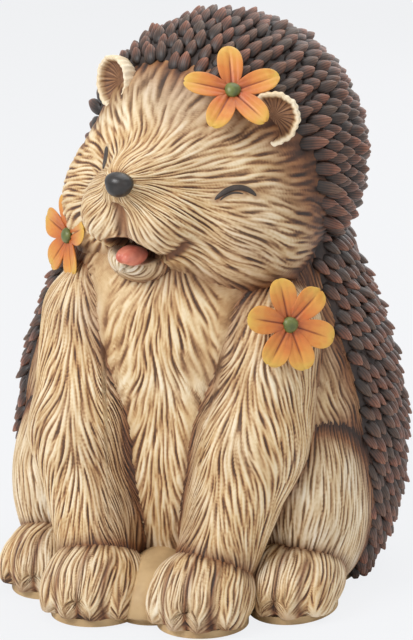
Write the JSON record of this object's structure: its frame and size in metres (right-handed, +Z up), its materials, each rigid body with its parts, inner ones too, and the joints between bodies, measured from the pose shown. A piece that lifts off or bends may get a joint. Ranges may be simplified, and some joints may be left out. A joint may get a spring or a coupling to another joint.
{
  "type": "hedgehog figurine",
  "caption": "Sitting hedgehog ornament of painted cast resin, with carved fur, a spiny coat, a laughing face and orange flowers; it rests on its flat sole.",
  "frame": {"origin": "on the surface it stands on, under the middle of the body", "axes": "+Z up, the hedgehog faces -Y, its own left side is +X"},
  "size_m": [0.1387, 0.1446, 0.1931],
  "materials": {
    "fur_resin": "matt cast resin, cream paint with a brown wash left in the carved fur",
    "sole_resin": "matt cast resin, plain beige",
    "coat_resin": "matt cast resin, charcoal brown",
    "spine_resin": "satin cast resin, charcoal with rust-brown dry-brushed tips",
    "ear_resin": "matt cast resin, cream rim and brown cup",
    "tongue_enamel": "satin pink paint",
    "nose_enamel": "glossy black enamel",
    "petal_resin": "satin orange paint with yellow and pink tints",
    "bead_resin": "satin olive green paint"
  },
  "bodies": {
    "root": {"body": "fur_resin", "base_plate": "sole_resin", "back_coat": "coat_resin", "back_spines": "spine_resin", "head": "fur_resin", "lower_jaw": "fur_resin", "tongue": "tongue_enamel", "nose": "nose_enamel", "head_coat": "coat_resin", "head_spines": "spine_resin", "left_ear": "ear_resin", "right_ear": "ear_resin", "left_foreleg": "fur_resin", "right_foreleg": "fur_resin", "left_front_paw": "fur_resin", "right_front_paw": "fur_resin", "left_haunch": "fur_resin", "right_haunch": "fur_resin", "left_hind_paw": "fur_resin", "right_hind_paw": "fur_resin", "head_flower_petals": "petal_resin", "head_flower_bead": "bead_resin", "shoulder_flower_petals": "petal_resin", "shoulder_flower_bead": "bead_resin", "cheek_flower_petals": "petal_resin", "cheek_flower_bead": "bead_resin"}
  },
  "joints": []
}
